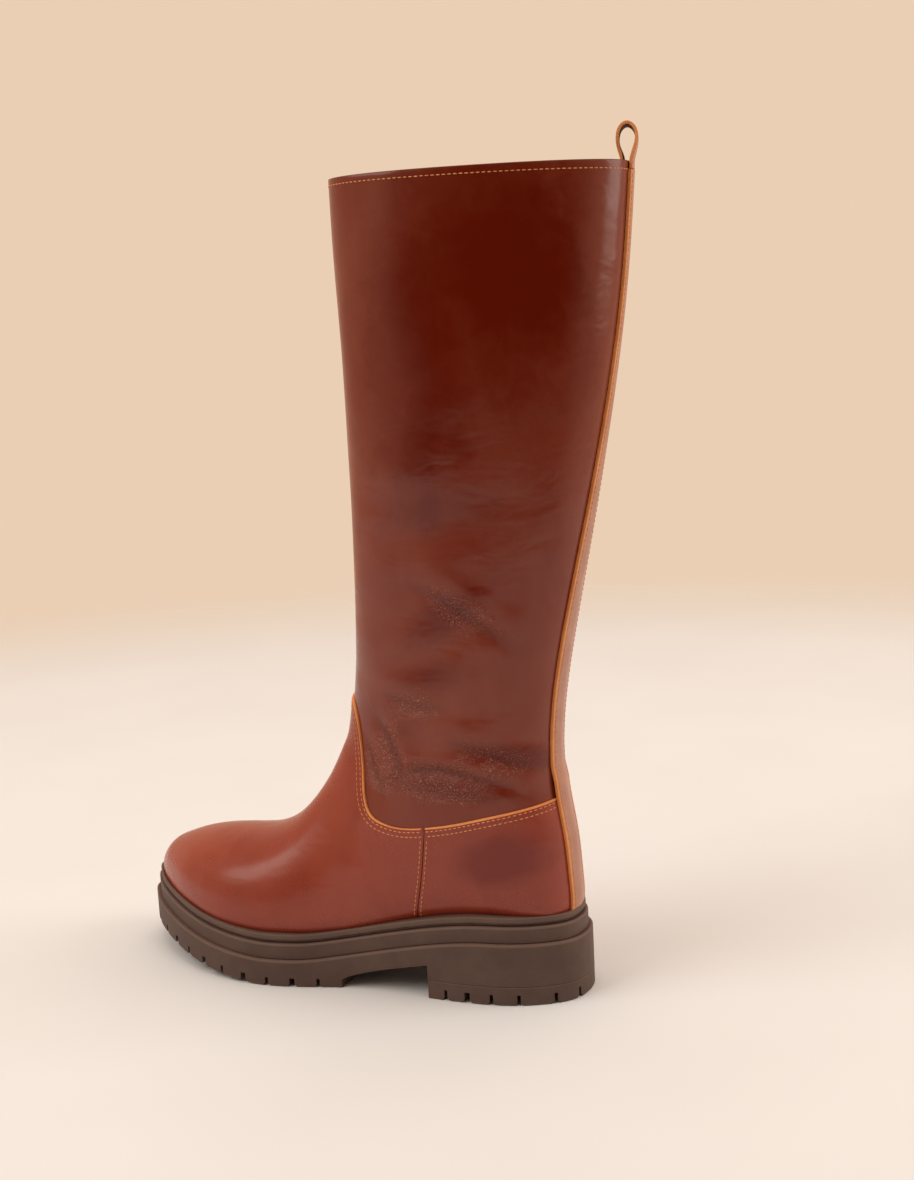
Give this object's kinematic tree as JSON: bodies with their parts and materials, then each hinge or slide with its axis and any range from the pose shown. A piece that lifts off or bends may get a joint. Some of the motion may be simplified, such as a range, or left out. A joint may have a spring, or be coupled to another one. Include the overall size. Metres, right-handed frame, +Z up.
{
  "type": "knee-high boot",
  "caption": "Knee-high pull-on leather boot on a chunky lugged rubber sole, with a raised back strip, a pull loop and a short slit at the collar.",
  "frame": {"origin": "middle of the boot's bounding box seen from above, on the floor under the sole", "axes": "+X to the toe, +Y to the outer side of the foot, +Z up the shaft"},
  "size_m": [0.3294, 0.1014, 0.4709],
  "materials": {
    "leather": "polished, lightly creased",
    "strip_leather": "satin with raw tan edges",
    "sock_leather": "matte",
    "rubber": "matte"
  },
  "bodies": {
    "root": {"upper": "leather", "back_strip": "strip_leather", "pull_loop": "strip_leather", "gusset": "leather", "insole": "sock_leather", "welt": "rubber", "midsole": "rubber", "outsole": "rubber", "heel_tread": "rubber"}
  },
  "joints": []
}
